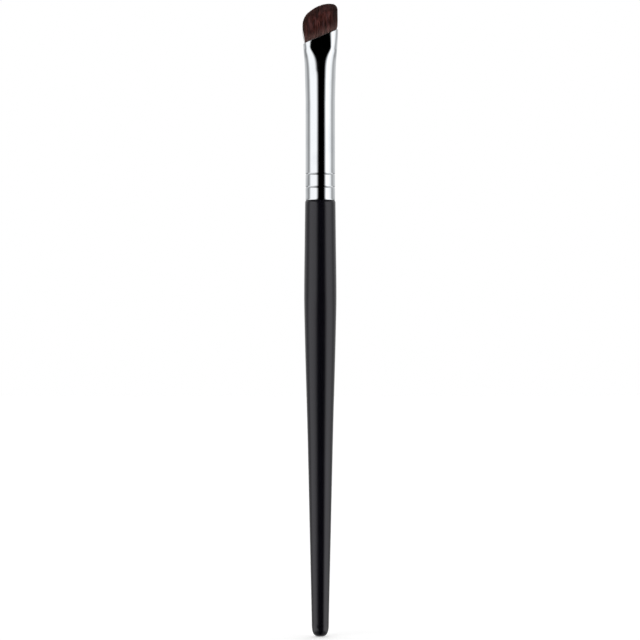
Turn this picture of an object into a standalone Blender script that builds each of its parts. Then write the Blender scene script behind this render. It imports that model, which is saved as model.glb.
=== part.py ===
"""Angled makeup brush: a lacquered wood handle, a pressed metal ferrule and a slanted tuft of hair.

Metres, +Z up. The brush's axis is Z, the origin is the tip of the handle's foot, and the hair points up. The tuft is
long at +X and short at -X, and the pressed faces of the ferrule look along -Y and +Y.
"""

import math

import bmesh
import bpy
from mathutils.geometry import delaunay_2d_cdt

# Clearance left between pieces that touch
SEAT_GAP = 0.0003

# Handle, turned from hardwood: heights from the tip of the foot, drops from the shoulder under the ferrule
HANDLE_LENGTH = 0.1170
FOOT_DOME_HEIGHT = 0.0021
TAIL_DIAMETER = 0.00468
TAPER_FOOT_HEIGHT = 0.0120
TAPER_FOOT_DIAMETER = 0.00495
TAPER_RUN_HEIGHT = 0.0233
TAPER_RUN_DIAMETER = 0.00547
TAPER_TOP_DROP = 0.0350
TAPER_TOP_DIAMETER = 0.00838
BELLY_DROP = 0.0253
BELLY_DIAMETER = 0.00872
WAIST_DROP = 0.0108
WAIST_DIAMETER = 0.00843
NECK_STEP = 0.0001
SHOULDER_ROUND_HEIGHT = 0.0018
SHOULDER_ROUND_DEPTH = 0.00016

# Tenon, the stub of the handle that stands in the ferrule: above the crimps, a glue groove and a plain end
GLUE_GROOVE_LEAD = 0.0039
GLUE_GROOVE_LENGTH = 0.0048
GLUE_GROOVE_DEPTH = 0.0010
TENON_END_LENGTH = 0.0045
TENON_CHAMFER = 0.0004

# Ferrule, a plated tube: it spreads from below the tied roots, is pressed flat above them, and is cut on the slant
FERRULE_DIAMETER = 0.0080
FERRULE_WALL = 0.00035
FERRULE_EDGE_ROUND = 0.00008
SPREAD_LEAD = 0.0054
PRESS_LENGTH = 0.0092
MOUTH_LENGTH = 0.0026
MOUTH_WIDTH = 0.0093
MOUTH_THICKNESS = 0.0048
MOUTH_SLANT = math.radians(22.8)
MOUTH_POWER = 3.0
EARLY_SPREAD_SHARE = 0.58
EARLY_PRESS_SHARE = 0.15

# Crimps, the rolled grooves that grip the tenon
CRIMP_COUNT = 2
CRIMP_RISE = 0.0035
CRIMP_PITCH = 0.0035
CRIMP_WIDTH = 0.0008
CRIMP_DEPTH = 0.0001
CRIMP_OUTLINE_SHARES = (-1.0, -0.5, 0.0, 0.5, 1.0)

# Root plug, the cast resin that the roots of the hair are set in
PLUG_FLOOR = 0.0045
PLUG_CUP_DEPTH = 0.0020
PLUG_CUP_WALL = 0.00045

# Tie, the thread wound round the roots
TIE_TURNS = 4
TIE_THREAD_DIAMETER = 0.00035
TIE_TURN_PITCH = 0.0004

# Tuft, measured up from the slanted mouth, and its roots, which swell above the tie to fill the ferrule
HAIR_RECESS = 0.0006
ROOT_SWELL_LENGTH = 0.0033
TUFT_LENGTH = 0.0087
TUFT_WIDTH = 0.0098
TUFT_FLARE_RISE = 0.0045
TUFT_THICKNESS = 0.0044
TUFT_THICKEST_RISE = 0.0024
TUFT_EDGE_THICKNESS = 0.0015
CREST_OFFSET = 0.0024
CREST_ARC_RADIUS = 0.00625
RIM_DROP = 0.0004
RIM_DROP_POWER = 12
CHISEL_DROP = 0.0014

# Strands, each a tapered prism
STRAND_COUNT = 350
STRAND_SIDES = 3
STRAND_SIZE_SHARE = 0.78
STRAND_FIELD_SHARE = 0.955
STRAND_LEVEL_SHARES = (0.36, 0.86)
STRAND_TAPER_SHARES = (0.95, 0.7)
GOLDEN_TURN = math.pi * (3 - math.sqrt(5))

# Fineness of the meshes
TURNED_STEPS = 48
SMALL_STEPS = 32
LOFT_SIDES = 48
OUTLINE_STEPS = 5
DOME_STEPS = 5
SHOULDER_STEPS = 3
PRESS_RINGS = 14
BORE_RINGS = 7
ROOT_RINGS = 6
LEAN_PASSES = 4
SHARP_ANGLE = math.radians(35)
MERGE_DISTANCE = 0.00001
FLAT_MERGE_SHARE = 0.0000001


def share_between(value, start, end):
    """How far a value lies from start, 0, to end, 1."""
    return min(max((value - start) / (end - start), 0), 1)


def eased(share):
    return share * share * (3 - 2 * share)


def slopes_through(stations):
    """A slope for each (place, size) station, which keeps the curve through them free of bumps."""
    rises = [(b[1] - a[1]) / (b[0] - a[0]) for a, b in zip(stations, stations[1:])]
    middle = [2 * a * b / (a + b) if a * b > 0 else 0 for a, b in zip(rises, rises[1:])]
    return [rises[0], *middle, rises[-1]]


def smooth_through(stations, place):
    """The size at a place on a smooth curve through (place, size) stations, held level past both ends."""
    slopes = slopes_through(stations)
    place = min(max(place, stations[0][0]), stations[-1][0])
    index = max(i for i, station in enumerate(stations[:-1]) if station[0] <= place)
    (start, low), (end, high) = stations[index], stations[index + 1]
    gap = end - start
    t = (place - start) / gap
    curve = low + (high - low) * eased(t)
    bend = t * (1 - t) * ((1 - t) * slopes[index] - t * slopes[index + 1])
    return curve + gap * bend


def crimp_heights():
    first = ferrule_bottom() + CRIMP_RISE
    return [first + index * CRIMP_PITCH for index in range(CRIMP_COUNT)]


def crimp_outline_heights():
    half = CRIMP_WIDTH / 2
    return [height + share * half for height in crimp_heights() for share in CRIMP_OUTLINE_SHARES]


def crimp_dip(height):
    """How deep the rolled grooves press the tube in at a height."""
    nearest = min(abs(height - crimp) for crimp in crimp_heights())
    reach = min(nearest / (CRIMP_WIDTH / 2), 1)
    return CRIMP_DEPTH * (1 + math.cos(math.pi * reach)) / 2


def ferrule_bottom():
    return HANDLE_LENGTH + SEAT_GAP


def neck_diameter():
    """The top of the handle, a step wider than the ferrule over it."""
    return FERRULE_DIAMETER + 2 * NECK_STEP


def bore_radius():
    return FERRULE_DIAMETER / 2 - FERRULE_WALL


def tenon_radius():
    return bore_radius() - SEAT_GAP


def groove_bottom():
    return crimp_heights()[-1] + GLUE_GROOVE_LEAD


def groove_top():
    return groove_bottom() + GLUE_GROOVE_LENGTH


def tenon_top():
    return groove_top() + TENON_END_LENGTH


def plug_bottom():
    return tenon_top() + SEAT_GAP


def root_end():
    return plug_bottom() + PLUG_FLOOR + SEAT_GAP


def tie_bottom():
    return plug_bottom() + PLUG_FLOOR + PLUG_CUP_DEPTH + SEAT_GAP


def tie_top():
    return tie_bottom() + TIE_TURNS * TIE_TURN_PITCH


def root_radius():
    """Radius of the bound roots, which stand in the plug's cup."""
    return tenon_radius() - PLUG_CUP_WALL - SEAT_GAP


def press_start():
    return tie_top() + ROOT_SWELL_LENGTH


def press_end():
    return press_start() + PRESS_LENGTH


def spread_start():
    return press_start() - SPREAD_LEAD


def mouth_height():
    """Where the slanted mouth crosses the axis."""
    return press_end() + MOUTH_LENGTH


def oval_point(u, v, half_width, half_thickness, power):
    """A unit disc's point (u, v) laid out on an oval: power 2 is an ellipse, and a higher power is squarer."""
    if u == 0 and v == 0:
        return 0, 0
    stretch = math.hypot(u, v) / (abs(u) ** power + abs(v) ** power) ** (1 / power)
    return half_width * u * stretch, half_thickness * v * stretch


def pressed_share(height):
    """How far the tube is pressed flat at a height."""
    return eased(share_between(height, press_start(), press_end()) ** 2)


def tube_section(height, inset):
    """Half-width, half-thickness and power of the ferrule at a height, a distance in from its outer face."""
    radius = FERRULE_DIAMETER / 2
    pressed = pressed_share(height)
    spread = share_between(height, spread_start(), mouth_height())
    early = share_between(height, spread_start(), press_end())
    wide = EARLY_SPREAD_SHARE * spread + (1 - EARLY_SPREAD_SHARE) * pressed
    thin = EARLY_PRESS_SHARE * early + (1 - EARLY_PRESS_SHARE) * pressed
    taken = inset + crimp_dip(height)
    half_width = radius + (MOUTH_WIDTH / 2 - radius) * wide - taken
    half_thickness = radius - (radius - MOUTH_THICKNESS / 2) * thin - taken
    return half_width, half_thickness, 2 + (MOUTH_POWER - 2) * pressed


def lean_at(height):
    """How far a ring at this height on the axis has leant over towards the slant of the mouth."""
    return share_between(height, press_start(), mouth_height() - HAIR_RECESS) * math.tan(MOUTH_SLANT)


def tube_point(turn, height, inset):
    """A point at an angle round the ferrule, on the ring that crosses the axis at this height."""
    z = height
    for _ in range(LEAN_PASSES):
        x, y = oval_point(math.cos(turn), math.sin(turn), *tube_section(z, inset))
        z = height + x * lean_at(height)
    return x, y, z


def loft_turns():
    return [2 * math.pi * index / LOFT_SIDES for index in range(LOFT_SIDES)]


def tuft_section(rise):
    """Half-width, half-thickness and power of the hair at a rise above the slanted mouth."""
    root_width, root_thickness, _ = tube_section(mouth_height() - HAIR_RECESS, FERRULE_WALL + SEAT_GAP)
    flare = math.sin(share_between(rise, -HAIR_RECESS, TUFT_FLARE_RISE) * math.pi / 2)
    half_width = root_width + (TUFT_WIDTH / 2 - root_width) * flare
    stations = [
        (-HAIR_RECESS, root_thickness),
        (TUFT_THICKEST_RISE, TUFT_THICKNESS / 2),
        (TUFT_LENGTH, TUFT_EDGE_THICKNESS / 2),
    ]
    return half_width, smooth_through(stations, rise), MOUTH_POWER


def tuft_point(u, v, rise):
    x, y = oval_point(u, v, *tuft_section(rise))
    return x, y, mouth_height() + rise + x * math.tan(MOUTH_SLANT)


def strand_rise(u, v):
    """How far the strand that starts at (u, v) rises above the mouth: the slanted, domed and chiselled end."""
    x, _, _ = tuft_point(u, v, TUFT_FLARE_RISE)
    crest = TUFT_LENGTH - (x - CREST_OFFSET) ** 2 / (2 * CREST_ARC_RADIUS)
    rim = math.hypot(u, v) ** RIM_DROP_POWER
    return crest - RIM_DROP * rim - CHISEL_DROP * v * v - x * math.tan(MOUTH_SLANT)


def material(name, colour, roughness, metallic=0.0, coat=0.0):
    made = bpy.data.materials.new(name)
    made.use_nodes = True
    made.diffuse_color = (*colour, 1.0)
    shader = made.node_tree.nodes["Principled BSDF"]
    shader.inputs["Base Color"].default_value = (*colour, 1.0)
    shader.inputs["Roughness"].default_value = roughness
    shader.inputs["Metallic"].default_value = metallic
    shader.inputs["Coat Weight"].default_value = coat
    return made


def add_object(name, mesh, finish, brush):
    """Puts a mesh in the scene as one piece of the brush."""
    piece = bpy.data.objects.new(name, mesh)
    mesh.materials.append(finish)
    brush.users_collection[0].objects.link(piece)
    piece.parent = brush
    return piece


def add_turned(name, outline, closed, steps, finish, brush):
    """Turns an outline of (radius, height) points about Z. It runs down the outer side."""
    mesh = bpy.data.meshes.new(name)
    last = len(outline) - 1
    edges = [(index, index + 1) for index in range(last)]
    if closed:
        edges.append((last, 0))
    mesh.from_pydata([(radius, 0, height) for radius, height in outline], edges, [])
    piece = add_object(name, mesh, finish, brush)
    turning = piece.modifiers.new("turning", "SCREW")
    turning.axis = "Z"
    turning.steps = steps
    turning.render_steps = steps
    turning.use_merge_vertices = True
    turning.merge_threshold = MERGE_DISTANCE
    turning.use_smooth_shade = True
    return piece


def bridge(bm, lower, upper):
    """Joins two rings of vertices with a band of faces."""
    for index, vertex in enumerate(lower):
        following = (index + 1) % len(lower)
        bm.faces.new((vertex, lower[following], upper[following], upper[index]))


def finish_mesh(name, bm):
    bmesh.ops.recalc_face_normals(bm, faces=bm.faces)
    mesh = bpy.data.meshes.new(name)
    bm.to_mesh(mesh)
    bm.free()
    mesh.shade_smooth()
    mesh.set_sharp_from_angle(angle=SHARP_ANGLE)
    return mesh


def handle_body_outline():
    """The lacquered outside, from the rounded shoulder down to the tip of the foot."""
    round_bottom = HANDLE_LENGTH - SHOULDER_ROUND_HEIGHT
    stations = [
        (FOOT_DOME_HEIGHT, TAIL_DIAMETER),
        (TAPER_FOOT_HEIGHT, TAPER_FOOT_DIAMETER),
        (TAPER_RUN_HEIGHT, TAPER_RUN_DIAMETER),
        (HANDLE_LENGTH - TAPER_TOP_DROP, TAPER_TOP_DIAMETER),
        (HANDLE_LENGTH - BELLY_DROP, BELLY_DIAMETER),
        (HANDLE_LENGTH - WAIST_DROP, WAIST_DIAMETER),
        (round_bottom, neck_diameter()),
    ]
    outline = []
    for step in range(SHOULDER_STEPS):
        turn = math.pi / 2 * (1 - step / SHOULDER_STEPS)
        radius = neck_diameter() / 2 - SHOULDER_ROUND_DEPTH * (1 - math.cos(turn))
        outline.append((radius, round_bottom + SHOULDER_ROUND_HEIGHT * math.sin(turn)))
    for (low, _), (high, _) in reversed(list(zip(stations, stations[1:]))):
        for step in range(OUTLINE_STEPS):
            height = high - (high - low) * step / OUTLINE_STEPS
            outline.append((smooth_through(stations, height) / 2, height))
    for step in range(DOME_STEPS):
        turn = math.pi / 2 * step / DOME_STEPS
        outline.append((TAIL_DIAMETER / 2 * math.cos(turn), FOOT_DOME_HEIGHT * (1 - math.sin(turn))))
    outline.append((0, 0))
    return outline


def tenon_outline():
    """The bare wood stub, from its end down to the shoulder, with a glue groove and a seat for each crimp."""
    radius = tenon_radius()
    outline = [
        (0, tenon_top()),
        (radius - TENON_CHAMFER, tenon_top()),
        (radius, tenon_top() - TENON_CHAMFER),
        (radius, groove_top()),
        (radius - GLUE_GROOVE_DEPTH, groove_top()),
        (radius - GLUE_GROOVE_DEPTH, groove_bottom()),
        (radius, groove_bottom()),
    ]
    outline += [(radius - crimp_dip(height), height) for height in reversed(crimp_outline_heights())]
    outline.append((radius, HANDLE_LENGTH))
    return outline


def add_handle(brush):
    lacquer = material("black_gloss_lacquer", (0.012, 0.011, 0.013), 0.12, coat=1.0)
    outline = tenon_outline() + handle_body_outline()
    return add_turned("handle", outline, False, TURNED_STEPS, lacquer, brush)


def ferrule_rings():
    """(height, inset) of each ring, up the outer face and down the bore."""
    bottom = ferrule_bottom()
    soft = FERRULE_EDGE_ROUND
    face_length = mouth_height() - soft - press_start()
    bore_length = mouth_height() - press_start()
    rings = [(bottom, soft), (bottom + soft, 0)]
    rings += [(height, 0) for height in crimp_outline_heights()]
    rings.append((spread_start(), 0))
    rings += [(press_start() + face_length * step / PRESS_RINGS, 0) for step in range(PRESS_RINGS + 1)]
    rings += [(mouth_height(), soft), (mouth_height(), FERRULE_WALL)]
    for step in range(1, BORE_RINGS + 1):
        rings.append((mouth_height() - bore_length * step / BORE_RINGS, FERRULE_WALL))
    rings.append((spread_start(), FERRULE_WALL))
    rings += [(height, FERRULE_WALL) for height in reversed(crimp_outline_heights())]
    rings.append((bottom, FERRULE_WALL))
    return rings


def add_ferrule(brush):
    plated = material("plated_metal", (0.62, 0.62, 0.64), 0.08, metallic=1.0)
    bm = bmesh.new()
    rings = [
        [bm.verts.new(tube_point(turn, height, inset)) for turn in loft_turns()]
        for height, inset in ferrule_rings()
    ]
    for index, ring in enumerate(rings):
        bridge(bm, ring, rings[(index + 1) % len(rings)])
    return add_object("ferrule", finish_mesh("ferrule", bm), plated, brush)


def add_tenon_glue(brush):
    """The adhesive that fills the tenon's groove."""
    glue = material("cured_adhesive", (0.55, 0.42, 0.22), 0.35)
    outer = tenon_radius()
    inner = outer - GLUE_GROOVE_DEPTH + SEAT_GAP
    bottom = groove_bottom() + SEAT_GAP
    top = groove_top() - SEAT_GAP
    outline = [(outer, top), (outer, bottom), (inner, bottom), (inner, top)]
    return add_turned("tenon_glue", outline, True, SMALL_STEPS, glue, brush)


def add_root_plug(brush):
    """The resin plug above the tenon, with the cup that holds the roots."""
    resin = material("cast_resin", (0.42, 0.30, 0.12), 0.25)
    outer = tenon_radius()
    cup = outer - PLUG_CUP_WALL
    bottom = plug_bottom()
    floor = bottom + PLUG_FLOOR
    top = floor + PLUG_CUP_DEPTH
    outline = [(0, floor), (cup, floor), (cup, top), (outer, top), (outer, bottom), (0, bottom)]
    return add_turned("root_plug", outline, False, SMALL_STEPS, resin, brush)


def add_tie_thread(brush):
    """The turns of waxed thread that bind the roots, as one ridged band."""
    thread = material("waxed_thread", (0.62, 0.56, 0.44), 0.7)
    inner = root_radius() + SEAT_GAP
    ridge = inner + TIE_THREAD_DIAMETER
    valley = inner + TIE_THREAD_DIAMETER / 2
    outline = [(inner, tie_top())]
    for index in range(TIE_TURNS):
        turn_top = tie_top() - TIE_TURN_PITCH * index
        if index > 0:
            outline.append((valley, turn_top))
        outline.append((ridge, turn_top - TIE_TURN_PITCH / 2))
    outline.append((inner, tie_bottom()))
    return add_turned("tie_thread", outline, True, SMALL_STEPS, thread, brush)


def strand_corners(index, taper_share):
    """The corners of one strand's section on the unit disc: strands are spread like the seeds of a sunflower."""
    reach = STRAND_FIELD_SHARE * math.sqrt((index + 0.5) / STRAND_COUNT)
    turn = index * GOLDEN_TURN
    u = reach * math.cos(turn)
    v = reach * math.sin(turn)
    size = taper_share * STRAND_SIZE_SHARE / math.sqrt(STRAND_COUNT)
    corners = []
    for side in range(STRAND_SIDES):
        corner = turn * 2 + 2 * math.pi * side / STRAND_SIDES
        corners.append((u + size * math.cos(corner), v + size * math.sin(corner)))
    return corners


def add_root_face(bm):
    """The top of the packed roots, cut so that each strand's foot is a hole. Returns its rim and the feet."""
    flat = [(math.cos(turn), math.sin(turn)) for turn in loft_turns()]
    edges = [(index, (index + 1) % LOFT_SIDES) for index in range(LOFT_SIDES)]
    feet = []
    for index in range(STRAND_COUNT):
        feet.append(list(range(len(flat), len(flat) + STRAND_SIDES)))
        flat += strand_corners(index, 1)
    points, _, faces, sources, _, face_sources = delaunay_2d_cdt(flat, edges, feet, 0, FLAT_MERGE_SHARE)
    vertices = [bm.verts.new(tuft_point(*point, -HAIR_RECESS)) for point in points]
    placed = {source: vertex for vertex, found in zip(vertices, sources) for source in found}
    for face, found in zip(faces, face_sources):
        if not found:
            bm.faces.new([vertices[corner] for corner in face])
    rim = [placed[index] for index in range(LOFT_SIDES)]
    return rim, [[placed[corner] for corner in foot] for foot in feet]


def add_strand(bm, index, foot):
    """Raises one strand from its foot through its levels to a point."""
    middle = strand_corners(index, 0)[0]
    length = strand_rise(*middle) + HAIR_RECESS
    below = foot
    for level_share, taper_share in zip(STRAND_LEVEL_SHARES, STRAND_TAPER_SHARES):
        rise = length * level_share - HAIR_RECESS
        ring = [bm.verts.new(tuft_point(*corner, rise)) for corner in strand_corners(index, taper_share)]
        bridge(bm, below, ring)
        below = ring
    tip = bm.verts.new(tuft_point(*middle, length - HAIR_RECESS))
    for side, corner in enumerate(below):
        bm.faces.new((corner, below[(side + 1) % STRAND_SIDES], tip))


def root_rings():
    """Rings of the packed roots: they fill the ferrule below the mouth, then draw in to the tied end."""
    inset = FERRULE_WALL + SEAT_GAP
    top = mouth_height() - HAIR_RECESS
    length = top - press_start()
    rings = []
    for step in range(1, ROOT_RINGS + 1):
        height = top - length * step / ROOT_RINGS
        rings.append([tube_point(turn, height, inset) for turn in loft_turns()])
    radius = root_radius()
    for height in (tie_top(), root_end()):
        rings.append([(radius * math.cos(turn), radius * math.sin(turn), height) for turn in loft_turns()])
    return rings


def add_bristle_tuft(brush):
    hair = material("brown_hair", (0.045, 0.018, 0.014), 0.5)
    bm = bmesh.new()
    rim, feet = add_root_face(bm)
    for index, foot in enumerate(feet):
        add_strand(bm, index, foot)
    below = rim
    for points in root_rings():
        ring = [bm.verts.new(point) for point in points]
        bridge(bm, below, ring)
        below = ring
    bm.faces.new(below)
    return add_object("bristle_tuft", finish_mesh("bristle_tuft", bm), hair, brush)


def clear_scene():
    for leftover in list(bpy.data.objects):
        bpy.data.objects.remove(leftover, do_unlink=True)


def build_brush():
    clear_scene()
    parts = bpy.data.collections.new("angled_makeup_brush")
    bpy.context.scene.collection.children.link(parts)
    brush = bpy.data.objects.new("brush_axis", None)
    parts.objects.link(brush)
    add_handle(brush)
    add_tenon_glue(brush)
    add_ferrule(brush)
    add_root_plug(brush)
    add_tie_thread(brush)
    add_bristle_tuft(brush)


build_brush()
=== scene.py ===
"""The looks of a slim angled makeup brush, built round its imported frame.

Metres, +Z up. The brush stands on the tip of its handle at the origin, with its hair at the top. The tuft is long
at +X, and the camera looks along +Y.
"""

import math

import bpy
import numpy as np
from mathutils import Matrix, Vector


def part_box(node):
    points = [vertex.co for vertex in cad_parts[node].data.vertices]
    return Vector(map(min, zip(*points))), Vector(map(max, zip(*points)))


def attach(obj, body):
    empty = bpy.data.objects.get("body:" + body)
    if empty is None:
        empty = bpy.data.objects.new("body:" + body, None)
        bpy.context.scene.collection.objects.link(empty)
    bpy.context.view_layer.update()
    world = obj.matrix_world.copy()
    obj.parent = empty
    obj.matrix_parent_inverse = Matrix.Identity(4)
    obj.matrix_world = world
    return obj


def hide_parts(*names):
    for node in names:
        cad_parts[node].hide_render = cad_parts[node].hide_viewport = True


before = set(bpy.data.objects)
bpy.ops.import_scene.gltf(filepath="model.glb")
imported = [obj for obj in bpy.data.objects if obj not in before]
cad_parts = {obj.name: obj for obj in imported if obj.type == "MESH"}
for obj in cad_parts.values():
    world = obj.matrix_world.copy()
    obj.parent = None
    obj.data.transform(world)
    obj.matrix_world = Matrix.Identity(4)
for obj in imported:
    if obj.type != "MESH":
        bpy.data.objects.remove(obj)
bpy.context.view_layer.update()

# The handle: one stick of beech, turned on a lathe and dipped in gloss black lacquer. The lacquer stops just above
# the shoulder, and the bare stub over it, the tenon, is glued and crimped in the ferrule.
HANDLE_LENGTH = 0.1170
FOOT_DOME_HEIGHT = 0.0044
FOOT_DOME_POWER = 3.3
TAIL_DIAMETER = 0.00463
TAPER_FOOT_HEIGHT = 0.0120
TAPER_FOOT_DIAMETER = 0.00495
TAPER_RUN_HEIGHT = 0.0233
TAPER_RUN_DIAMETER = 0.00547
TAPER_MIDDLE_HEIGHT = 0.0553
TAPER_MIDDLE_DIAMETER = 0.00694
TAPER_TOP_DROP = 0.0350
TAPER_TOP_DIAMETER = 0.00838
BELLY_DROP = 0.0253
BELLY_DIAMETER = 0.00872
WAIST_DROP = 0.0108
WAIST_DIAMETER = 0.00843
NECK_DIAMETER = 0.0082
SHOULDER_TOP = 0.11716
SHOULDER_ROUND_HEIGHT = 0.00050
SHOULDER_ROUND_DEPTH = 0.00019
SHOULDER_ROUND_POWER = 1.15
TENON_DIAMETER = 0.0067
TENON_CHAMFER = 0.0004
GROOVE_BOTTOM = 0.1282
GROOVE_TOP = 0.1330
GROOVE_DEPTH = 0.0010
LACQUER_TOP = 0.1176
LACQUER_EDGE = 0.0002
SHARP_EDGE = math.radians(50)
HANDLE_SIDES = 160
BODY_STEPS = 150
ROUND_STEPS = 14
FOOT_STEPS = 40
BLACK_LACQUER = (0.0025, 0.0023, 0.0042, 1)
WORN_LACQUER = (0.0042, 0.0039, 0.0066, 1)
LACQUER_SHINE = (0.95, 0.94, 1.0, 1)
BEECH = (0.60, 0.40, 0.23, 1)
BEECH_FLECK = (0.42, 0.25, 0.13, 1)
# A grain is in lumps to the metre, and a noise adds its detail and stretch. A mask climbs from 0 to 1 over a span.
LACQUER_EDGE_GRAIN = 700.0
WORN_GRAIN = 260.0
FLECK_NOISE = (2600.0, 3.0, (1, 1, 0.08))
FLECK_SPAN = (0.35, 0.65)
SATIN_NOISE = (1400.0, 3.0)
DIP_WAVE_NOISE = (330.0, 1.0)
LACQUER_ROUGHNESS = 0.17
SATIN_ROUGHNESS = 0.08
BEECH_ROUGHNESS = 0.42
FLECK_ROUGHNESS = 0.15
DIP_WAVE_DEPTH = 0.000003
FLECK_DEPTH_TIMES = 3.0


def smooth_through(stations, place):
    """The size at a place on a smooth curve through (place, size) stations, held level past both ends."""
    rises = [(b[1] - a[1]) / (b[0] - a[0]) for a, b in zip(stations, stations[1:])]
    middle = [2 * a * b / (a + b) if a * b > 0 else 0 for a, b in zip(rises, rises[1:])]
    slopes = [rises[0], *middle, rises[-1]]
    place = min(max(place, stations[0][0]), stations[-1][0])
    index = max(i for i, station in enumerate(stations[:-1]) if station[0] <= place)
    (start, low), (end, high) = stations[index], stations[index + 1]
    t = (place - start) / (end - start)
    bend = t * (1 - t) * ((1 - t) * slopes[index] - t * slopes[index + 1])
    return low + (high - low) * t * t * (3 - 2 * t) + (end - start) * bend


def grid_mesh(name, rings, close_ends, round_again=False):
    """A skin over rings of points, each ring with as many points. The last ring may join the first."""
    rings = np.asarray(rings)
    count, sides = rings.shape[:2]
    corner = np.arange(count * sides).reshape(count, sides)
    lower = corner if round_again else corner[:-1]
    upper = np.roll(corner, -1, axis=0) if round_again else corner[1:]
    quads = np.stack([lower, np.roll(lower, -1, 1), np.roll(upper, -1, 1), upper], axis=-1)
    faces = quads.reshape(-1, 4).tolist()
    if close_ends:
        faces.append(corner[0][::-1].tolist())
        faces.append(corner[-1].tolist())
    mesh = bpy.data.meshes.new(name)
    mesh.from_pydata(rings.reshape(-1, 3).tolist(), [], faces)
    mesh.shade_smooth()
    return mesh


def add_piece(name, mesh, material, node):
    """Shows a mesh as the piece that stands for a CAD node, moving with the brush."""
    piece = bpy.data.objects.new(name, mesh)
    bpy.context.scene.collection.objects.link(piece)
    mesh.materials.append(material)
    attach(piece, "root")
    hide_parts(node)


class Wire:
    """One socket that a shader node gives out. Sums of wires and numbers add Math nodes."""

    def __init__(self, tree, socket=None):
        self.tree = tree
        self.socket = socket

    def node(self, kind, settings, feeds, output=0):
        """Adds a node of any kind: its settings first, then the value or wire of each socket in feeds.

        It gives the wire of one of the node's outputs, or of none where the node is the tree's last.
        """
        made = self.tree.nodes.new("ShaderNode" + kind)
        for name, value in settings.items():
            setattr(made, name, value)
        for name, value in feeds.items():
            if isinstance(value, Wire):
                self.tree.links.new(value.socket, made.inputs[name])
            else:
                made.inputs[name].default_value = value
        return Wire(self.tree, None if output is None else made.outputs[output])

    def maths(self, operation, *values):
        return self.node("Math", {"operation": operation}, dict(enumerate(values)))

    def __add__(self, other):
        return self.maths("ADD", self, other)

    def __sub__(self, other):
        return self.maths("SUBTRACT", self, other)

    def __rsub__(self, other):
        return self.maths("SUBTRACT", other, self)

    def __mul__(self, other):
        return self.maths("MULTIPLY", self, other)

    __radd__ = __add__
    __rmul__ = __mul__

    def climbs(self, low, high):
        """0 where this is under low, 1 where it is over high, and smooth between."""
        settings = {"interpolation_type": "SMOOTHSTEP"}
        return self.node("MapRange", settings, {"Value": self, "From Min": low, "From Max": high})

    def paints(self, under, over):
        """The colour under where this mask is 0, and the colour over where it is 1."""
        return self.node("Mix", {"data_type": "RGBA"}, {0: self, 6: under, 7: over}, output=2)

    def grain(self, scale, detail=2.0, stretch=(1, 1, 1)):
        """Noise, from 0 to 1, of scale lumps to the metre at this place, finer where stretch is more."""
        place = self.node("Mapping", {}, {"Vector": self, "Scale": stretch})
        return self.node("TexNoise", {}, {"Vector": place, "Scale": scale, "Detail": detail})

    def axis(self, letter):
        return self.node("SeparateXYZ", {}, {"Vector": self}, output=letter)

    def relief(self, depth):
        """A surface normal in which a height of 1 stands this many metres proud."""
        return self.node("Bump", {}, {"Height": self, "Strength": 1.0, "Distance": depth})


def new_finish(name):
    """A material, and the wire of the place on the surface in metres."""
    material = bpy.data.materials.new(name)
    material.use_nodes = True
    return material, Wire(material.node_tree).node("TexCoord", {}, {}, output="Object")


def lay_finish(material, looks):
    """Sets the sockets of the material's Principled shader, each to a number, a colour or a wire."""
    shader = material.node_tree.nodes["Principled BSDF"]
    for name, value in looks.items():
        if isinstance(value, Wire):
            material.node_tree.links.new(value.socket, shader.inputs[name])
        else:
            shader.inputs[name].default_value = value
    return material


def lacquered_beech():
    material, place = new_finish("lacquered_beech")
    ragged_edge = place.axis("Z") + place.grain(LACQUER_EDGE_GRAIN) * LACQUER_EDGE
    bare = ragged_edge.climbs(LACQUER_TOP, LACQUER_TOP + LACQUER_EDGE)
    lacquer = place.grain(WORN_GRAIN).paints(BLACK_LACQUER, WORN_LACQUER)
    fleck = place.grain(*FLECK_NOISE)
    wood = fleck.climbs(*FLECK_SPAN).paints(BEECH_FLECK, BEECH)
    satin = LACQUER_ROUGHNESS + place.grain(*SATIN_NOISE) * SATIN_ROUGHNESS
    waves = place.grain(*DIP_WAVE_NOISE) * (1 - bare)
    looks = {
        "Base Color": bare.paints(lacquer, wood),
        "Roughness": satin + bare * (BEECH_ROUGHNESS + fleck * FLECK_ROUGHNESS),
        "Specular Tint": LACQUER_SHINE,
        "Normal": (waves + fleck * bare * FLECK_DEPTH_TIMES).relief(DIP_WAVE_DEPTH),
    }
    return lay_finish(material, looks)


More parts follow.
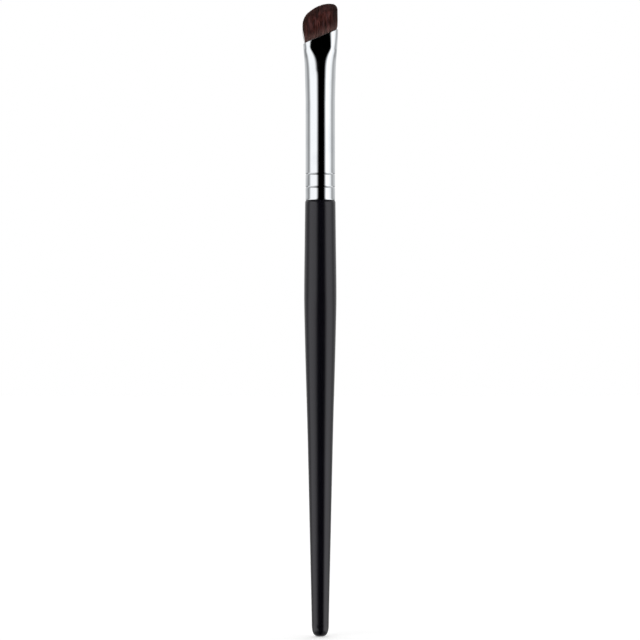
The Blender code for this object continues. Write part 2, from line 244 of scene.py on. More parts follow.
def handle_outline():
    """(radius, height) points from the tip of the foot to the end of the tenon."""
    round_bottom = SHOULDER_TOP - SHOULDER_ROUND_HEIGHT
    stations = [
        (FOOT_DOME_HEIGHT, TAIL_DIAMETER / 2),
        (TAPER_FOOT_HEIGHT, TAPER_FOOT_DIAMETER / 2),
        (TAPER_RUN_HEIGHT, TAPER_RUN_DIAMETER / 2),
        (TAPER_MIDDLE_HEIGHT, TAPER_MIDDLE_DIAMETER / 2),
        (HANDLE_LENGTH - TAPER_TOP_DROP, TAPER_TOP_DIAMETER / 2),
        (HANDLE_LENGTH - BELLY_DROP, BELLY_DIAMETER / 2),
        (HANDLE_LENGTH - WAIST_DROP, WAIST_DIAMETER / 2),
        (round_bottom, NECK_DIAMETER / 2),
    ]
    outline = []
    for step in range(1, FOOT_STEPS):
        turn = math.pi / 2 * step / FOOT_STEPS
        across = math.sin(turn) ** (2 / FOOT_DOME_POWER)
        down = math.cos(turn) ** (2 / FOOT_DOME_POWER)
        outline.append((TAIL_DIAMETER / 2 * across, FOOT_DOME_HEIGHT * (1 - down)))
    for step in range(BODY_STEPS):
        height = FOOT_DOME_HEIGHT + (round_bottom - FOOT_DOME_HEIGHT) * step / BODY_STEPS
        outline.append((smooth_through(stations, height), height))
    for step in range(ROUND_STEPS + 1):
        share = step / ROUND_STEPS
        radius = NECK_DIAMETER / 2 - SHOULDER_ROUND_DEPTH * share**SHOULDER_ROUND_POWER
        outline.append((radius, round_bottom + SHOULDER_ROUND_HEIGHT * share))
    stub = TENON_DIAMETER / 2
    tenon_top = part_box("handle")[1].z
    outline += [
        (stub, SHOULDER_TOP),
        (stub, LACQUER_TOP),
        (stub, GROOVE_BOTTOM),
        (stub - GROOVE_DEPTH, GROOVE_BOTTOM),
        (stub - GROOVE_DEPTH, GROOVE_TOP),
        (stub, GROOVE_TOP),
        (stub, tenon_top - TENON_CHAMFER),
        (stub - TENON_CHAMFER, tenon_top),
    ]
    return outline


def turned_rings(outline, sides):
    """The rings that a lathe makes of (radius, height) points."""
    turn = np.arange(sides) * 2 * math.pi / sides
    return [np.column_stack([r * np.cos(turn), r * np.sin(turn), np.full(sides, z)]) for r, z in outline]


handle_mesh = grid_mesh("handle", turned_rings(handle_outline(), HANDLE_SIDES), True)
handle_mesh.set_sharp_from_angle(angle=SHARP_EDGE)
add_piece("lacquered_handle", handle_mesh, lacquered_beech(), "handle")

# The glue: a clear amber adhesive, brushed on the tenon. It fills the groove round the tenon when the handle is
# pushed into the ferrule, and sets there with small bubbles in it.
GLUE_AMBER = (0.55, 0.42, 0.22, 1)
GLUE_PALE = (0.68, 0.58, 0.38, 1)
BUBBLE_NOISE = (1800.0, 4.0)
BUBBLE_SPAN = (0.45, 0.62)
GLUE_ROUGHNESS = 0.28
BUBBLE_ROUGHNESS = 0.2
BUBBLE_DEPTH = 0.00002


def cured_glue():
    material, place = new_finish("cured_glue")
    bubbles = place.grain(*BUBBLE_NOISE).climbs(*BUBBLE_SPAN)
    looks = {
        "Base Color": bubbles.paints(GLUE_AMBER, GLUE_PALE),
        "Roughness": GLUE_ROUGHNESS + bubbles * BUBBLE_ROUGHNESS,
        "Normal": bubbles.relief(BUBBLE_DEPTH),
    }
    return lay_finish(material, looks)


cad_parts["tenon_glue"].data.materials[0] = cured_glue()

# The ferrule: one seamless drawn tube of brass, polished and plated with nickel. Two grooves rolled into it grip
# the tenon. Over the roots of the hair it is pressed flat, and its mouth is cut on the slant.
TUBE_RADIUS = 0.0040
TUBE_WALL = 0.00035
TUBE_BOTTOM = 0.11719
BOTTOM_ROUND = 0.00015
SPREAD_START = 0.1441
PRESS_START = 0.1495
PRESS_END = 0.1587
PRESS_POWER = 2
THIN_END = 0.1596
THIN_POWER = 1.75
MOUTH_HEIGHT = 0.16117
MOUTH_WIDTH = 0.0093
MOUTH_THICKNESS = 0.0048
MOUTH_FLAT = 0.0052
MOUTH_SLOPE = math.tan(math.radians(22.8))
EARLY_SPREAD_SHARE = 0.58
EARLY_PRESS_SHARE = 0.15
LATE_FLAT_POWER = 1.6
WIDEST_FLAT = 0.00480
WIDEST_FLAT_HEIGHT = 0.1580
FLAT_CLOSING = 0.24
FLAT_CORNER_ROUND = 0.0003
RIM_FLARE = 0.035
RIM_FLARE_HEIGHT = 0.1585
CRIMP_HEIGHTS = (0.12066, 0.12416)
CRIMP_WIDTH = 0.0006
CRIMP_DEPTH = 0.00009
TUBE_SIDES = 240
FINE_SIDES = 960
SECTION_LEVELS = 160
PRESS_RINGS = 70
BORE_RINGS = 40
LIP_STEPS = 8
CRIMP_STEPS = 16
LEAN_PASSES = 5
NICKEL = (0.648, 0.670, 0.688, 1)
NICKEL_SHADE = (0.592, 0.614, 0.636, 1)
DRAWN_NOISE = (5200.0, 2.0, (1, 1, 0.03))
SMUDGE_NOISE = (190.0, 3.0)
SMUDGE_SPAN = (0.42, 0.7)
SMUDGE_SHADE = 0.6
DRAWN_SHADE = 0.4
POLISH_ROUGHNESS = 0.05
SMUDGE_ROUGHNESS = 0.04
DRAWN_ROUGHNESS = 0.03
DRAWN_DEPTH = 0.0000004


def share_between(value, start, end):
    """How far a value lies from start, 0, to end, 1."""
    return min(max((value - start) / (end - start), 0), 1)


def eased(share):
    """A share from 0 to 1 that starts and stops gently."""
    return share * share * (3 - 2 * share)


def tube_section(height):
    """Half-width, half-thickness and half the flat of the tube's outer face at a height."""
    pressed = eased(share_between(height, PRESS_START, PRESS_END) ** PRESS_POWER)
    spread = share_between(height, SPREAD_START, MOUTH_HEIGHT)
    wide = EARLY_SPREAD_SHARE * spread + (1 - EARLY_SPREAD_SHARE) * pressed
    early = share_between(height, SPREAD_START, PRESS_END)
    late = eased(share_between(height, PRESS_START, THIN_END) ** THIN_POWER)
    thin = EARLY_PRESS_SHARE * early + (1 - EARLY_PRESS_SHARE) * late
    half_width = TUBE_RADIUS + (MOUTH_WIDTH / 2 - TUBE_RADIUS) * wide
    half_width += RIM_FLARE * max(height - RIM_FLARE_HEIGHT, 0)
    half_thickness = TUBE_RADIUS - (TUBE_RADIUS - MOUTH_THICKNESS / 2) * thin
    opening = MOUTH_FLAT / 2 * pressed**LATE_FLAT_POWER
    closing = WIDEST_FLAT / 2 - FLAT_CLOSING * (height - WIDEST_FLAT_HEIGHT)
    half_flat = (opening + closing - math.hypot(opening - closing, FLAT_CORNER_ROUND)) / 2
    return half_width, half_thickness, max(half_flat, 0)


def oval_ring(half_width, half_thickness, half_flat):
    """Points spread evenly round an oval that has flat faces and elliptical ends."""
    turn = np.linspace(0, 2 * math.pi, FINE_SIDES + 1)
    across = np.round(np.cos(turn), decimals=9)
    x = (half_width - half_flat) * across + half_flat * np.sign(across)
    y = half_thickness * np.sin(turn)
    length = np.concatenate([[0], np.cumsum(np.hypot(np.diff(x), np.diff(y)))])
    even = np.arange(TUBE_SIDES) * length[-1] / TUBE_SIDES
    return np.column_stack([np.interp(even, length, x), np.interp(even, length, y)])


section_heights = np.linspace(SPREAD_START, MOUTH_HEIGHT + MOUTH_WIDTH / 2, SECTION_LEVELS)
sections = np.array([oval_ring(*tube_section(height)) for height in section_heights])


def crimp_dip(height):
    """How deep the rolled grooves press the tube in at a height."""
    nearest = min(abs(height - crimp) for crimp in CRIMP_HEIGHTS)
    return CRIMP_DEPTH * (1 + math.cos(math.pi * min(nearest / (CRIMP_WIDTH / 2), 1))) / 2


def tube_ring(height, inset):
    """The ring that crosses the axis at a height, an inset in from the outer face. It leans like the mouth."""
    lean = share_between(height, PRESS_START, MOUTH_HEIGHT) * MOUTH_SLOPE
    around = np.arange(TUBE_SIDES)
    z = np.full(TUBE_SIDES, height)
    for _ in range(LEAN_PASSES):
        level = np.interp(z, section_heights, np.arange(SECTION_LEVELS))
        lower = np.minimum(level.astype(int), SECTION_LEVELS - 2)
        share = (level - lower)[:, None]
        ring = sections[lower, around] * (1 - share) + sections[lower + 1, around] * share
        z = height + ring[:, 0] * lean
    along = np.roll(ring, -1, axis=0) - np.roll(ring, 1, axis=0)
    outward = np.column_stack([along[:, 1], -along[:, 0]]) / np.linalg.norm(along, axis=1)[:, None]
    return np.column_stack([ring - outward * (inset + crimp_dip(height)), z])


def ferrule_rings():
    """Up the outer face, over the lip of the mouth, down the bore and round the bottom edge."""
    lip = TUBE_WALL / 2
    outer_bottom = TUBE_BOTTOM + BOTTOM_ROUND
    outer_top = MOUTH_HEIGHT - lip
    stops = [(outer_bottom, 0), (outer_bottom + CRIMP_WIDTH / 2, 0)]
    for crimp in CRIMP_HEIGHTS:
        for step in range(-1, CRIMP_STEPS + 2):
            stops.append((crimp + CRIMP_WIDTH * (step / CRIMP_STEPS - 0.5), 0))
    stops.append((SPREAD_START - CRIMP_WIDTH, 0))
    stops.append((SPREAD_START, 0))
    for step in range(PRESS_RINGS + 1):
        stops.append((PRESS_START + (outer_top - PRESS_START) * step / PRESS_RINGS, 0))
    for step in range(1, LIP_STEPS):
        turn = math.pi * step / LIP_STEPS
        stops.append((outer_top + lip * math.sin(turn), lip * (1 - math.cos(turn))))
    for step in range(BORE_RINGS + 1):
        stops.append((outer_top + (PRESS_START - outer_top) * step / BORE_RINGS, TUBE_WALL))
    stops.append((SPREAD_START, TUBE_WALL))
    for crimp in reversed(CRIMP_HEIGHTS):
        for step in range(-1, CRIMP_STEPS + 2):
            stops.append((crimp - CRIMP_WIDTH * (step / CRIMP_STEPS - 0.5), TUBE_WALL))
    for step in range(LIP_STEPS + 1):
        turn = math.pi / 2 * step / LIP_STEPS
        drop = BOTTOM_ROUND * math.sin(turn)
        stops.append((outer_bottom - drop, TUBE_WALL - BOTTOM_ROUND * (1 - math.cos(turn))))
    for step in range(LIP_STEPS):
        turn = math.pi / 2 * step / LIP_STEPS
        drop = BOTTOM_ROUND * math.cos(turn)
        stops.append((outer_bottom - drop, BOTTOM_ROUND * (1 - math.sin(turn))))
    return [tube_ring(height, inset) for height, inset in stops]


def polished_nickel():
    material, place = new_finish("polished_nickel")
    drawn_lines = place.grain(*DRAWN_NOISE)
    smudges = place.grain(*SMUDGE_NOISE).climbs(*SMUDGE_SPAN)
    shade = smudges * SMUDGE_SHADE + drawn_lines * DRAWN_SHADE
    looks = {
        "Metallic": 1.0,
        "Base Color": shade.paints(NICKEL, NICKEL_SHADE),
        "Roughness": POLISH_ROUGHNESS + smudges * SMUDGE_ROUGHNESS + drawn_lines * DRAWN_ROUGHNESS,
        "Normal": drawn_lines.relief(DRAWN_DEPTH),
    }
    return lay_finish(material, looks)


ferrule_mesh = grid_mesh("ferrule", ferrule_rings(), False, round_again=True)
add_piece("plated_ferrule", ferrule_mesh, polished_nickel(), "ferrule")

# The root plug: amber resin, poured into the ferrule from its lower end before the handle goes in. It sets round
# the tied roots, holds the tuft, and shows clouds and pits where air was caught.
RESIN_AMBER = (0.42, 0.30, 0.12, 1)
RESIN_DEEP = (0.24, 0.15, 0.05, 1)
CLOUD_NOISE = (420.0, 3.0)
CLOUD_SPAN = (0.35, 0.7)
PIT_NOISE = (3200.0, 1.0)
PIT_SPAN = (0.6, 0.72)
RESIN_ROUGHNESS = 0.18
CLOUD_ROUGHNESS = 0.12
PIT_ROUGHNESS = 0.3
PIT_DEPTH = 0.00003


def cast_resin():
    material, place = new_finish("cast_resin")
    clouds = place.grain(*CLOUD_NOISE).climbs(*CLOUD_SPAN)
    pits = place.grain(*PIT_NOISE).climbs(*PIT_SPAN)
    looks = {
        "Base Color": clouds.paints(RESIN_AMBER, RESIN_DEEP),
        "Roughness": RESIN_ROUGHNESS + clouds * CLOUD_ROUGHNESS + pits * PIT_ROUGHNESS,
        "Normal": (0 - pits).relief(PIT_DEPTH),
    }
    return lay_finish(material, looks)


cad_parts["root_plug"].data.materials[0] = cast_resin()

# The tie: waxed cotton thread, wound four times round the roots of the hair and drawn tight. It keeps the bundle
# round while it is slipped into the ferrule and set in the resin.
THREAD_LIGHT = (0.68, 0.62, 0.50, 1)
THREAD_DARK = (0.44, 0.37, 0.26, 1)
TWIST_NOISE = (2400.0, 2.0, (1, 1, 2.2))
TWIST_SPAN = (0.35, 0.65)
TWIST_DEPTH = 0.00002
WAX_GRAIN = 600.0
THREAD_ROUGHNESS = 0.5
WAX_ROUGHNESS = 0.2


def waxed_thread():
    material, place = new_finish("waxed_thread")
    twist = place.grain(*TWIST_NOISE)
    looks = {
        "Base Color": twist.climbs(*TWIST_SPAN).paints(THREAD_DARK, THREAD_LIGHT),
        "Roughness": THREAD_ROUGHNESS + place.grain(WAX_GRAIN) * WAX_ROUGHNESS,
        "Normal": twist.relief(TWIST_DEPTH),
    }
    return lay_finish(material, looks)


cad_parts["tie_thread"].data.materials[0] = waxed_thread()

# The tuft: some thousands of dark reddish brown hairs, bound and set at the root. They fill the mouth of the
# ferrule, flare out of it, and end in a slanted, domed edge that is trimmed to a chisel from front to back.
# A station is (rise above the mouth, half the width or depth of the tuft there).
STRAND_COUNT = 4540
STRAND_SIDES = 3
STRAND_LEVELS = 7
STRAND_RADIUS = 0.000052
THIN_STRAND = 0.8
THICK_STRAND = 1.15
TAPER_STATIONS = ((0, 1), (0.7, 0.93), (1, 0.45))
SEED = 5
HAIR_RECESS = 0.0010
TUFT_LENGTH = 0.00879
LEFT_STATIONS = (
    (-0.0010, 0.00378),
    (0, 0.00385),
    (0.0006, 0.00391),
    (0.0021, 0.00415),
    (0.0035, 0.00436),
    (0.0048, 0.00453),
)
RIGHT_STATIONS = (
    (-0.0010, 0.00408),
    (0, 0.00424),
    (0.0009, 0.00453),
    (0.0027, 0.00459),
    (0.0054, 0.00458),
)
DEPTH_STATIONS = ((-0.0010, 0.00196), (0.0024, 0.00220), (0.0087, 0.00075))
FULL_WIDTH_RISE = 0.0048
TUFT_POWER = 3.0
CREST_OFFSET = 0.0024
CREST_ARC_RADIUS = 0.0067
RIM_DROP = 0.0007
RIM_DROP_POWER = 12
CHISEL_DROP = 0.0014
PACKED_REACH = 0.985
GOLDEN_TURN = math.pi * (3 - math.sqrt(5))
TURN_SCATTER = 0.02
TIP_SCATTER = 0.00010
SHORTEST_TIP = -0.0003
LONGEST_TIP = 0.00010
STRAY_SHARE = 0.014
LEFT_STRAY_SHARE = 0.055
CLUMP_COUNT = 130
CLUMP_TONE_SHARE = 0.55
CLUMP_PULL_SHARE = 0.30
PULL_RIM_POWER = 6
PULL_RISE_POWER = 1.5
WAVE = 0.00004
SWAY_BEND = 5
NOD_BEND = 4
HAIR_DARK = (0.0230, 0.0056, 0.0038, 1)
HAIR_BROWN = (0.108, 0.0262, 0.0190, 1)
HAIR_RED = (0.215, 0.074, 0.068, 1)
HAIR_MAUVE = (0.114, 0.055, 0.057, 1)
HAIR_PAINTED_EDGE_LIGHT = (0.060, 0.0300, 0.0210, 1)
HAIR_SHADE = (0.040, 0.0240, 0.0205, 1)
HAIR_TIP = (0.072, 0.040, 0.036, 1)
PAINTED_SHEEN_HAIR = (0.250, 0.148, 0.130, 1)
PATCH_NOISE = (1150.0, 2.0, (1, 0.5, 0.32))
PATCH_SPAN = (0.36, 0.64)
PATCH_SHARE = 0.48
STREAK_NOISE = (2600.0, 2.0, (1, 0.5, 0.11))
STREAK_SPAN = (0.34, 0.66)
STREAK_SHARE = 0.30
STRAND_TONE_SHARE = 0.22
BROWN_SPAN = (0.16, 0.50)
RED_SPAN = (0.46, 0.86)
MAUVE_NOISE = (1700.0, 2.0, (1, 0.5, 0.16))
MAUVE_SPAN = (0.48, 0.66)
MAUVE_SHARE = 0.55
# Painted light: the short, left end of the tuft is painted a lighter greyish olive for the light that fringes that
# edge.
LIT_EDGE_NOISE = (800.0, 2.0, (1, 1, 0.4))
LIT_EDGE_RAGGEDNESS = 0.002
LIT_EDGE_SPAN = (-0.0037, -0.0021)
LIT_EDGE_SHARE = 0.85
# Painted shade: the long, right end of the tuft is painted darker for the shade that falls on that side.
SHADE_SPAN = (0.0020, 0.0038)
SHADE_SHARE = 0.70
TIP_SPAN = (-0.0010, 0.0)
TIP_SHARE = 0.6
# Painted highlight: the hair just above the mouth is painted much lighter for the sheen and the lip's reflection
# there.
SHEEN_SPAN = (-0.0002, 0.0026)
SHEEN_SHARE = 0.70
HAIR_ROUGHNESS = 0.48
TONE_ROUGHNESS = 0.16
HAIR_SPECULAR = 0.22
PATCH_DEPTH = 0.000004

random_hairs = np.random.default_rng(SEED)


def tuft_points(u, v, rise):
    """Places in the tuft of points (u, v) of the unit disc, at rises above the slanted mouth."""
    left = np.interp(rise, *zip(*LEFT_STATIONS))
    right = np.interp(rise, *zip(*RIGHT_STATIONS))
    half_width = np.where(u < 0, left, right)
    half_depth = np.array([smooth_through(DEPTH_STATIONS, r) for r in np.ravel(rise)]).reshape(np.shape(rise))
    reach = np.hypot(u, v)
    square = (np.abs(u) ** TUFT_POWER + np.abs(v) ** TUFT_POWER) ** (1 / TUFT_POWER)
    stretch = reach / np.maximum(square, 1e-9)
    x = half_width * u * stretch
    y = half_depth * v * stretch
    return np.stack([x, y, MOUTH_HEIGHT + rise + x * MOUTH_SLOPE], axis=-1)


def tip_rise(u, v):
    """How far a strand rises above the mouth."""
    x = tuft_points(u, v, np.full(len(u), FULL_WIDTH_RISE))[:, 0]
    crest = TUFT_LENGTH - (x - CREST_OFFSET) ** 2 / (2 * CREST_ARC_RADIUS)
    rim = np.hypot(u, v) ** RIM_DROP_POWER
    return crest - RIM_DROP * rim - CHISEL_DROP * v * v - x * MOUTH_SLOPE


def hair_strands():
    """Places of the strands' vertices by strand, level and side, each strand's tone and each level's rise."""
    index = np.arange(STRAND_COUNT)
    reach = PACKED_REACH * np.sqrt((index + 0.5) / STRAND_COUNT)
    turn = index * GOLDEN_TURN + random_hairs.normal(0, TURN_SCATTER, STRAND_COUNT)
    stray_share = np.where(np.cos(turn) < 0, LEFT_STRAY_SHARE, STRAY_SHARE)
    reach *= 1 + random_hairs.normal(0, 1, STRAND_COUNT) * stray_share
    u = reach * np.cos(turn)
    v = reach * np.sin(turn)
    clumps = random_hairs.choice(STRAND_COUNT, CLUMP_COUNT, replace=False)
    gaps = np.hypot(u[:, None] - u[clumps], v[:, None] - v[clumps])
    home = gaps.argmin(axis=1)
    length = tip_rise(u, v) + HAIR_RECESS
    length += random_hairs.normal(0, TIP_SCATTER, STRAND_COUNT).clip(SHORTEST_TIP, LONGEST_TIP)
    tone = CLUMP_TONE_SHARE * random_hairs.random(CLUMP_COUNT)[home]
    tone += (1 - CLUMP_TONE_SHARE) * random_hairs.random(STRAND_COUNT)
    share = np.linspace(0, 1, STRAND_LEVELS + 1)
    inside = 1 - np.minimum(reach[:, None], 1) ** PULL_RIM_POWER
    pull = CLUMP_PULL_SHARE * inside * share**PULL_RISE_POWER
    pulled_u = u[:, None] + (u[clumps][home] - u)[:, None] * pull
    pulled_v = v[:, None] + (v[clumps][home] - v)[:, None] * pull
    rise = length[:, None] * share - HAIR_RECESS
    line = tuft_points(pulled_u, pulled_v, rise)
    phase = random_hairs.random((STRAND_COUNT, 2)) * 2 * math.pi
    line[:, :, 0] += WAVE * np.sin(share * SWAY_BEND + phase[:, :1]) * share
    line[:, :, 1] += WAVE * np.sin(share * NOD_BEND + phase[:, 1:]) * share
    thickness = STRAND_RADIUS * random_hairs.uniform(THIN_STRAND, THICK_STRAND, STRAND_COUNT)
    taper = np.interp(share, *zip(*TAPER_STATIONS))
    spin = random_hairs.random(STRAND_COUNT) * 2 * math.pi
    side = np.arange(STRAND_SIDES) * 2 * math.pi / STRAND_SIDES
    angle = spin[:, None] + side
    radius = thickness[:, None, None] * taper[None, :, None]
    ring = np.zeros((STRAND_COUNT, STRAND_LEVELS + 1, STRAND_SIDES, 3))
    ring[..., 0] = radius * np.cos(angle)[:, None, :]
    ring[..., 1] = radius * np.sin(angle)[:, None, :]
    return line[:, :, None, :] + ring, tone, rise


def strand_mesh():
    """Every strand as a closed prism. Its points know their strand's tone, their rise and how far under its tip."""
    places, tone, rise = hair_strands()
    count, levels, sides = places.shape[:3]
    corner = np.arange(count * levels * sides).reshape(count, levels, sides)
    lower = corner[:, :-1]
    upper = corner[:, 1:]
    quads = np.stack([lower, np.roll(lower, -1, 2), np.roll(upper, -1, 2), upper], axis=-1)
    faces = quads.reshape(-1, 4).tolist()
    faces += corner[:, 0, ::-1].tolist()
    faces += corner[:, -1].tolist()
    mesh = bpy.data.meshes.new("strands")
    mesh.from_pydata(places.reshape(-1, 3).tolist(), [], faces)
    mesh.shade_smooth()
    tones = np.broadcast_to(tone[:, None, None], corner.shape).astype(np.float32)
    rises = np.broadcast_to(rise[:, :, None], corner.shape).astype(np.float32)
    for name, values in (("tone", tones), ("rise", rises), ("tip", rises - rises[:, -1:])):
        held = mesh.attributes.new(name, "FLOAT", "POINT")
        held.data.foreach_set("value", values.ravel())
    return mesh


def brown_hair():
    material, place = new_finish("brown_hair")
    tone = place.node("Attribute", {"attribute_name": "tone"}, {}, output="Fac")
    rise = place.node("Attribute", {"attribute_name": "rise"}, {}, output="Fac")
    tip = place.node("Attribute", {"attribute_name": "tip"}, {}, output="Fac")
    patch = place.grain(*PATCH_NOISE).climbs(*PATCH_SPAN)
    streak = place.grain(*STREAK_NOISE).climbs(*STREAK_SPAN)
    mixed = tone * STRAND_TONE_SHARE + streak * STREAK_SHARE + patch * PATCH_SHARE
    colour = mixed.climbs(*BROWN_SPAN).paints(HAIR_DARK, HAIR_BROWN)
    colour = mixed.climbs(*RED_SPAN).paints(colour, HAIR_RED)
    mauve = place.grain(*MAUVE_NOISE).climbs(*MAUVE_SPAN)
    colour = (mauve * MAUVE_SHARE).paints(colour, HAIR_MAUVE)
    # Painted light: a lighter greyish olive with a ragged edge, painted over the short, left end of the tuft for
    # the light that fringes it.
    ragged_x = place.axis("X") + place.grain(*LIT_EDGE_NOISE) * LIT_EDGE_RAGGEDNESS
    painted_edge_light = 1 - ragged_x.climbs(*LIT_EDGE_SPAN)
    colour = (painted_edge_light * LIT_EDGE_SHARE).paints(colour, HAIR_PAINTED_EDGE_LIGHT)
    # Painted shade: the long, right end of the tuft is painted darker for the shade on that side.
    painted_shade_side = place.axis("X").climbs(*SHADE_SPAN)
    colour = (painted_shade_side * SHADE_SHARE).paints(colour, HAIR_SHADE)
    colour = (tip.climbs(*TIP_SPAN) * TIP_SHARE).paints(colour, HAIR_TIP)
    # Painted highlight: the lowest hair, just above the mouth, is painted much lighter for its sheen and the lip's
    # reflection. The roots mesh has no rise, so it takes this colour nearly all over.
    painted_sheen_near_mouth = 1 - rise.climbs(*SHEEN_SPAN)
    looks = {
        "Base Color": (painted_sheen_near_mouth * SHEEN_SHARE).paints(colour, PAINTED_SHEEN_HAIR),
        "Roughness": HAIR_ROUGHNESS + tone * TONE_ROUGHNESS,
        "Specular IOR Level": HAIR_SPECULAR,
        "Normal": patch.relief(PATCH_DEPTH),
    }
    return lay_finish(material, looks)


hair_finish = brown_hair()
add_piece("hair_strands", strand_mesh(), hair_finish, "bristle_tuft")

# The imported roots: the lower ends of the same hairs, which the flat mouth presses into one dense mass. Below it
# they are drawn in to the tie, and their ends stand in the resin.
ROOT_TOP = MOUTH_HEIGHT - 0.7 * HAIR_RECESS
ROOT_CLEARANCE = 0.00006
ROOT_RADIUS = 0.0026
ROOT_END = 0.1426
TIE_TOP = 0.1462
ROOT_RINGS = 24


def root_rings():
    """Round rings at the tie, then rings just inside the bore, up to the mouth."""
    rings = []
    for step in range(ROOT_RINGS + 1):
        height = PRESS_START + (ROOT_TOP - PRESS_START) * step / ROOT_RINGS
        rings.append(tube_ring(height, TUBE_WALL + ROOT_CLEARANCE))
    turn = np.arctan2(rings[0][:, 1], rings[0][:, 0])
    x = ROOT_RADIUS * np.cos(turn)
    y = ROOT_RADIUS * np.sin(turn)
    tied = [np.column_stack([x, y, np.full(TUBE_SIDES, z)]) for z in (ROOT_END, TIE_TOP)]
    return tied + rings


add_piece("hair_roots", grid_mesh("roots", root_rings(), True), hair_finish, "bristle_tuft")

# The floor: a wide sheet of pale card, laid flat, which keeps the brush's soft shadow. The camera sees it glow a
# little, more where it is far off and less lit, and mirrors see the studio's own floor glow in its place.
FLOOR_SIZE = 3.0
FLOOR_PAINT = (0.85, 0.85, 0.85, 1)
WHITE = (1, 1, 1, 1)
CARD_GLOW_NEAR = 0.33
CARD_GLOW_FAR = 0.27
FAR_SPAN = (0.5, 1.8)


def pale_card():
    paint = bpy.data.materials.new("pale_floor")
    paint.use_nodes = True
    paint.node_tree.nodes.clear()
    camera_ray = Wire(paint.node_tree).node("LightPath", {}, {}, output="Is Camera Ray")
    matt = camera_ray.node("BsdfDiffuse", {}, {"Color": FLOOR_PAINT})
    place = camera_ray.node("TexCoord", {}, {}, output="Object")
    off_axis = place.node("VectorMath", {"operation": "LENGTH"}, {0: place}, output="Value")
    strength = camera_ray * (CARD_GLOW_NEAR + CARD_GLOW_FAR * off_axis.climbs(*FAR_SPAN))
    glow = camera_ray.node("Emission", {}, {"Color": WHITE, "Strength": strength})
    seen = camera_ray.node("AddShader", {}, {0: matt, 1: glow})
    seen.node("OutputMaterial", {}, {"Surface": seen}, output=None)
    return paint


floor_mesh = bpy.data.meshes.new("floor")
corners = [(x * FLOOR_SIZE, y * FLOOR_SIZE, 0) for x, y in ((-1, -1), (1, -1), (1, 1), (-1, 1))]
floor_mesh.from_pydata(corners, [], [(0, 1, 2, 3)])
floor_mesh.materials.append(pale_card())
floor = bpy.data.objects.new("floor", floor_mesh)
bpy.context.scene.collection.objects.link(floor)
floor.visible_glossy = False

# The studio: a tall soft box on each side of the brush, a white backdrop behind it and a dark gap round the camera.
# It is the world's light, by azimuth from the camera towards +X and by elevation, both in degrees.
LEFT_BOX = 1.45
LEFT_BOX_OUTER = (-104, -78)
LEFT_BOX_INNER = (-38, -15)
LEFT_BOX_LEAN = 1.4
LEFT_BOX_FOOT = 14.0
FOOT_SPAN = (-8.2, -4.4)
LEAN_SPAN = (-22, -12)
LEFT_BOX_HEAD = 6.5
HEAD_SPAN = (6.0, 10.0)
RIGHT_BOX = 1.68
RIGHT_BOX_INNER = (29, 52)
RIGHT_BOX_OUTER = (84, 106)
RIGHT_BOX_FALL = 0.30
RIGHT_BOX_FALL_SPAN = (58, 85)
BOX_SPREAD = 0.022
SPREAD_FROM = -8.0
SPREAD_TO = 2.5
BOX_BOTTOM = (-30, -23.5)
BOX_TOP = (24, 38)
BOX_END_SHARE = 0.10
BACKDROP = 0.82
BACKDROP_LOW_SHARE = 0.80
BACKDROP_HORIZON = (1.2, 2.3)
LEFT_GAP_DROP = 0.40
LEFT_GAP_SPAN = (-138, -106)
RIGHT_GAP_DROP = 0.25
RIGHT_GAP_SPAN = (112, 142)
BEHIND_LEFT = (-172, -146)
BEHIND_RIGHT = (150, 174)
FRONT_LEFT = (-60, -30)
FRONT_RIGHT = (30, 60)
FLOOR_GLOW = 0.16

studio = bpy.data.worlds.new("studio")
bpy.context.scene.world = studio
studio.use_nodes = True
studio.node_tree.nodes.clear()
looking = Wire(studio.node_tree).node("TexCoord", {}, {}, output="Generated")
azimuth = looking.maths("ARCTAN2", looking.axis("X"), looking.axis("Y") * -1) * math.degrees(1)
elevation = looking.maths("ARCSINE", looking.axis("Z")) * math.degrees(1)
nearly_level = elevation.maths("MAXIMUM", elevation.maths("MINIMUM", elevation, SPREAD_TO), SPREAD_FROM)
spread_azimuth = azimuth * (nearly_level * BOX_SPREAD + 1)

above_bottom = elevation.climbs(*BOX_BOTTOM)
box_height = BOX_END_SHARE + (1 - BOX_END_SHARE) * (above_bottom * (1 - elevation.climbs(*BOX_TOP)))
left_outer = spread_azimuth.climbs(*LEFT_BOX_OUTER)
left_lean = (1 - elevation.climbs(*FOOT_SPAN)) * LEFT_BOX_FOOT - nearly_level * LEFT_BOX_LEAN
left_azimuth = azimuth + left_lean * elevation.climbs(*LEAN_SPAN)
left_azimuth = left_azimuth + elevation.climbs(*HEAD_SPAN) * LEFT_BOX_HEAD
left_box = LEFT_BOX * left_outer * (1 - left_azimuth.climbs(*LEFT_BOX_INNER))
right_outer = spread_azimuth.climbs(*RIGHT_BOX_OUTER)
right_level = RIGHT_BOX - RIGHT_BOX_FALL * spread_azimuth.climbs(*RIGHT_BOX_FALL_SPAN)
right_box = right_level * spread_azimuth.climbs(*RIGHT_BOX_INNER) * (1 - right_outer)

left_back = (BACKDROP - LEFT_GAP_DROP * spread_azimuth.climbs(*LEFT_GAP_SPAN)) * (1 - left_outer)
right_back = (BACKDROP - RIGHT_GAP_DROP * (1 - spread_azimuth.climbs(*RIGHT_GAP_SPAN))) * right_outer
backdrop_height = BACKDROP_LOW_SHARE + (1 - BACKDROP_LOW_SHARE) * elevation.climbs(*BACKDROP_HORIZON)
in_front = azimuth.climbs(*FRONT_LEFT) * (1 - azimuth.climbs(*FRONT_RIGHT))
floor_light = FLOOR_GLOW * (1 - above_bottom) * (1 - in_front)
light = floor_light + (left_box + right_box) * box_height + (left_back + right_back) * backdrop_height

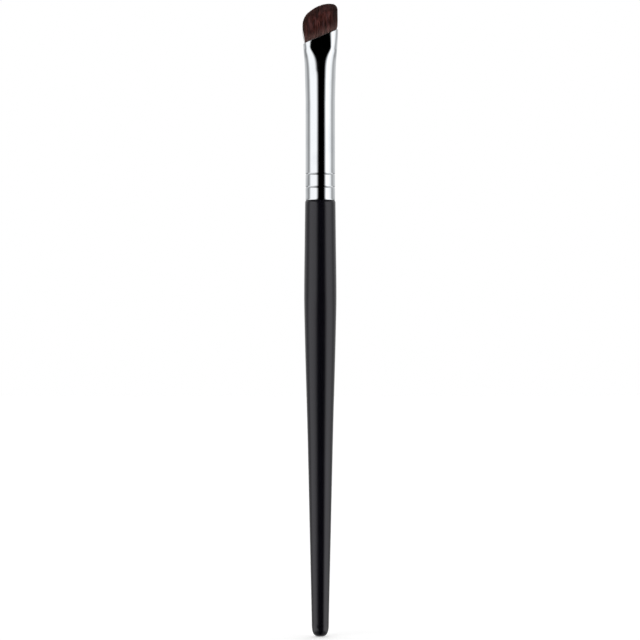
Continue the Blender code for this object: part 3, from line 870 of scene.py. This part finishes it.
# The camera sees plain white all round. Metal and gloss see that white too, in the part that lies behind the brush.
camera_ray = looking.node("LightPath", {}, {}, output="Is Camera Ray")
glossy_ray = looking.node("LightPath", {}, {}, output="Is Glossy Ray")
clear_ray = looking.node("LightPath", {}, {}, output="Is Transmission Ray")
behind = (1 - spread_azimuth.climbs(*BEHIND_LEFT)) + spread_azimuth.climbs(*BEHIND_RIGHT)
sees_white = camera_ray + looking.maths("MAXIMUM", glossy_ray, clear_ray) * behind
strength = light * (1 - sees_white) + sees_white
background = looking.node("Background", {}, {"Color": WHITE, "Strength": strength})
background.node("OutputWorld", {}, {"Surface": background}, output=None)

# The camera: a long lens, level with the middle of the brush and square to the flat of its ferrule, at the distance
# where the brush fills the frame as in the photograph.
CAMERA_DISTANCE = 0.9555
CAMERA_HEIGHT = 0.08503
CAMERA_X = -0.00008
CAMERA_LENS = 200
SENSOR = 36

lens = bpy.data.cameras.new("camera")
lens.lens = CAMERA_LENS
lens.sensor_width = SENSOR
camera = bpy.data.objects.new("camera", lens)
bpy.context.scene.collection.objects.link(camera)
camera.location = (CAMERA_X, -CAMERA_DISTANCE, CAMERA_HEIGHT)
camera.rotation_euler = (math.pi / 2, 0, 0)
bpy.context.scene.camera = camera
bpy.context.scene.view_settings.view_transform = "Standard"

# The lamps: three soft square panels that light the hair and the matt surfaces, and stay out of the reflections.
# Each hangs at a bearing from the camera towards +X and a lift over level, in degrees, with a power in watts.
LAMPS = {"key": (-35, 40, 3.0), "fill": (50, 25, 1.6), "rear": (170, 45, 2.6)}
LAMP_DISTANCE = 1.1
LAMP_SIZE = 0.7

for name, (bearing, lift, watts) in LAMPS.items():
    lamp = bpy.data.lights.new(name, "AREA")
    lamp.energy = watts
    lamp.size = LAMP_SIZE
    hung = bpy.data.objects.new(name, lamp)
    bpy.context.scene.collection.objects.link(hung)
    level = LAMP_DISTANCE * math.cos(math.radians(lift))
    away = Vector((level * math.sin(math.radians(bearing)), -level * math.cos(math.radians(bearing)), 0))
    away.z = LAMP_DISTANCE * math.sin(math.radians(lift))
    hung.location = away + Vector((0, 0, CAMERA_HEIGHT))
    hung.rotation_euler = away.to_track_quat("Z", "Y").to_euler()
    hung.visible_glossy = False
